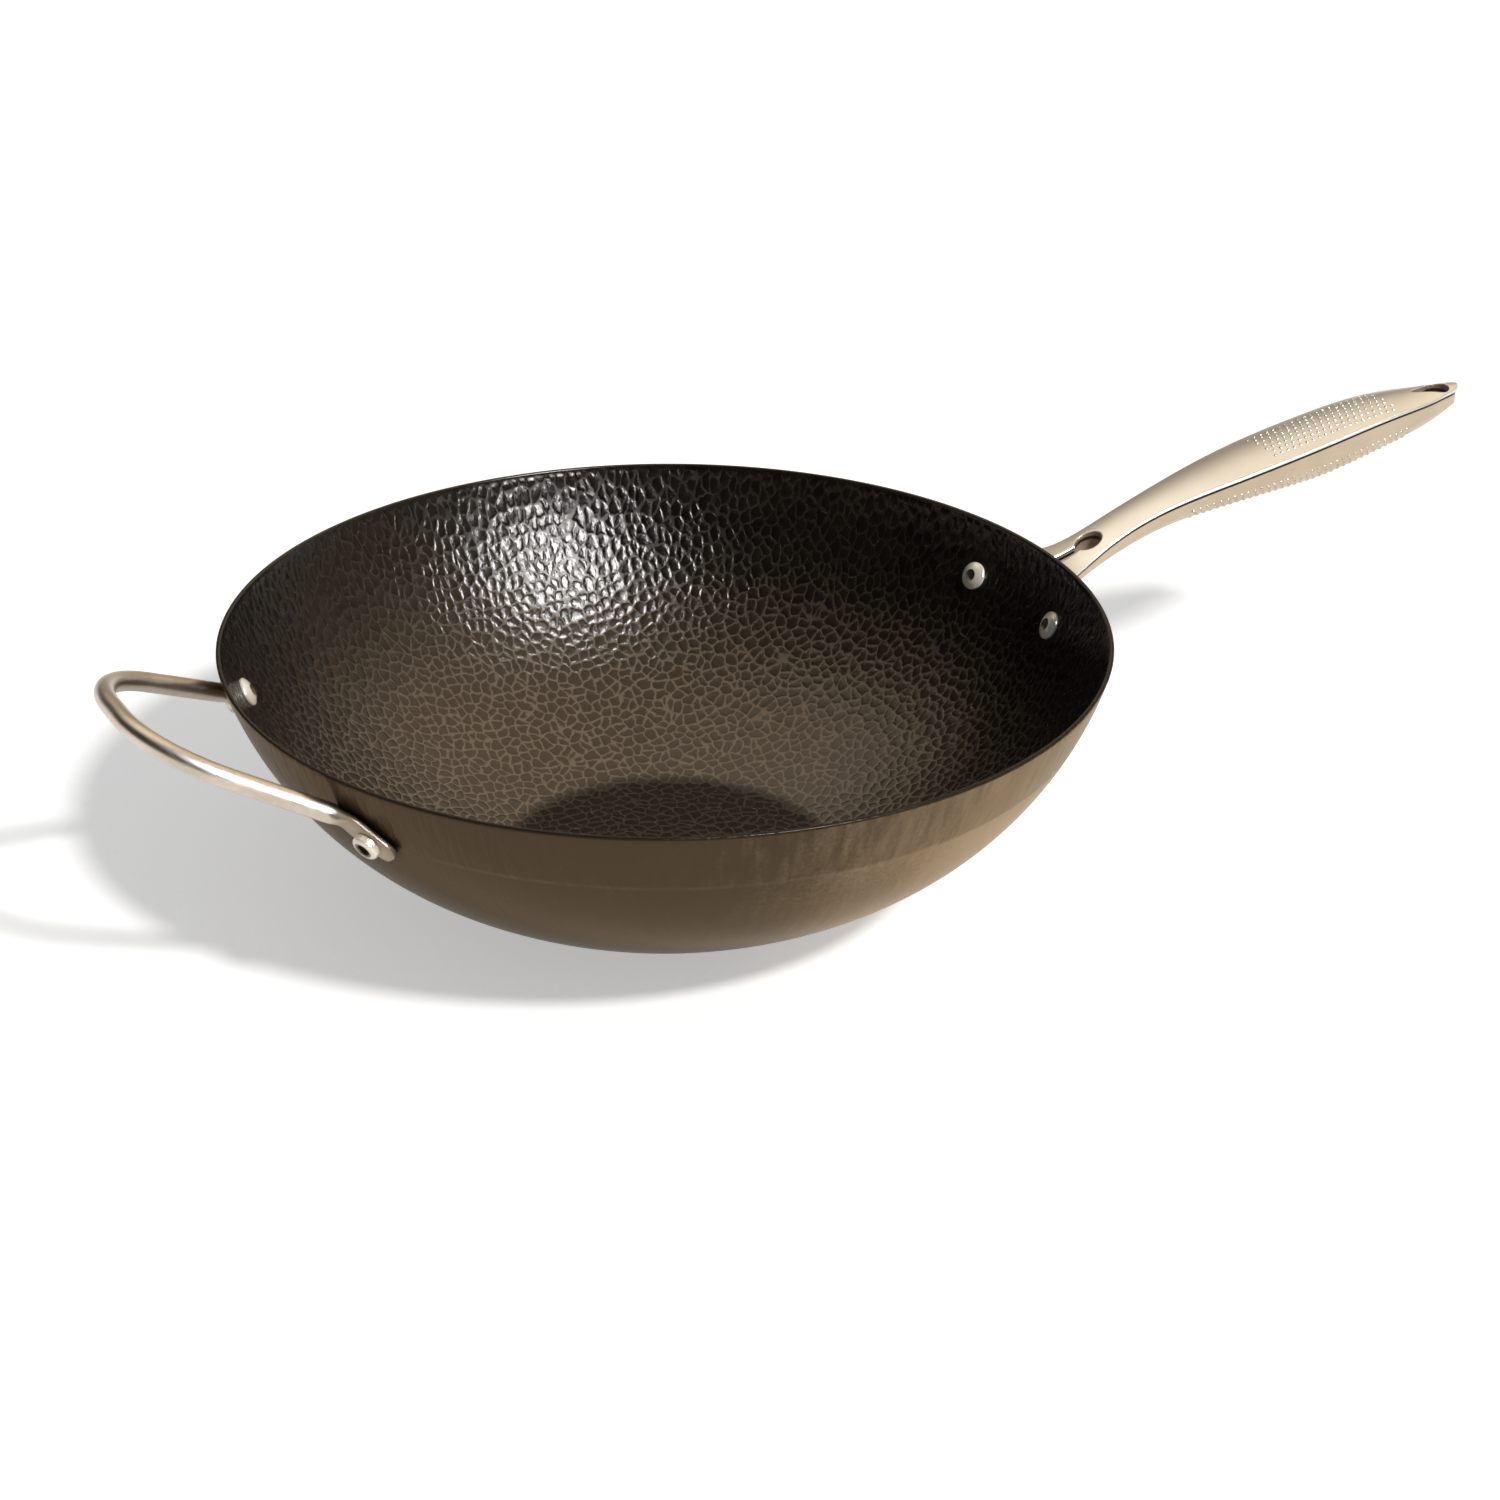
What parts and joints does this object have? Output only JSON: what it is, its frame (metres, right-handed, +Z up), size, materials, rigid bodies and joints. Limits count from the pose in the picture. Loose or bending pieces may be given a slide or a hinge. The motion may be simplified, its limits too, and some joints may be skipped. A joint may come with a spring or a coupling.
{
  "type": "carbon steel wok",
  "caption": "Flat-based carbon steel wok with a long forked two-shell steel handle riveted on one side and a bent-rod helper handle riveted on the other.",
  "frame": {"origin": "centre of the flat base, on the face that it rests on", "axes": "+Z up towards the open rim, +X from the bowl's axis along the long handle, -X towards the helper handle"},
  "size_m": [0.566, 0.3196, 0.1274],
  "materials": {
    "seasoned_steel": "dark brown seasoned steel, satin, pebbled inside and smooth bronze-brown outside",
    "handle_steel": "satin stainless steel with a warm tone",
    "rod_steel": "polished stainless steel",
    "rivet_steel": "bright satin stainless steel"
  },
  "bodies": {
    "root": {"wok_body": "seasoned_steel", "handle_upper_shell": "handle_steel", "handle_lower_shell": "handle_steel", "helper_handle": "rod_steel", "handle_rivet_left": "rivet_steel", "handle_rivet_right": "rivet_steel", "helper_rivet_left": "rivet_steel", "helper_rivet_right": "rivet_steel"}
  },
  "joints": []
}
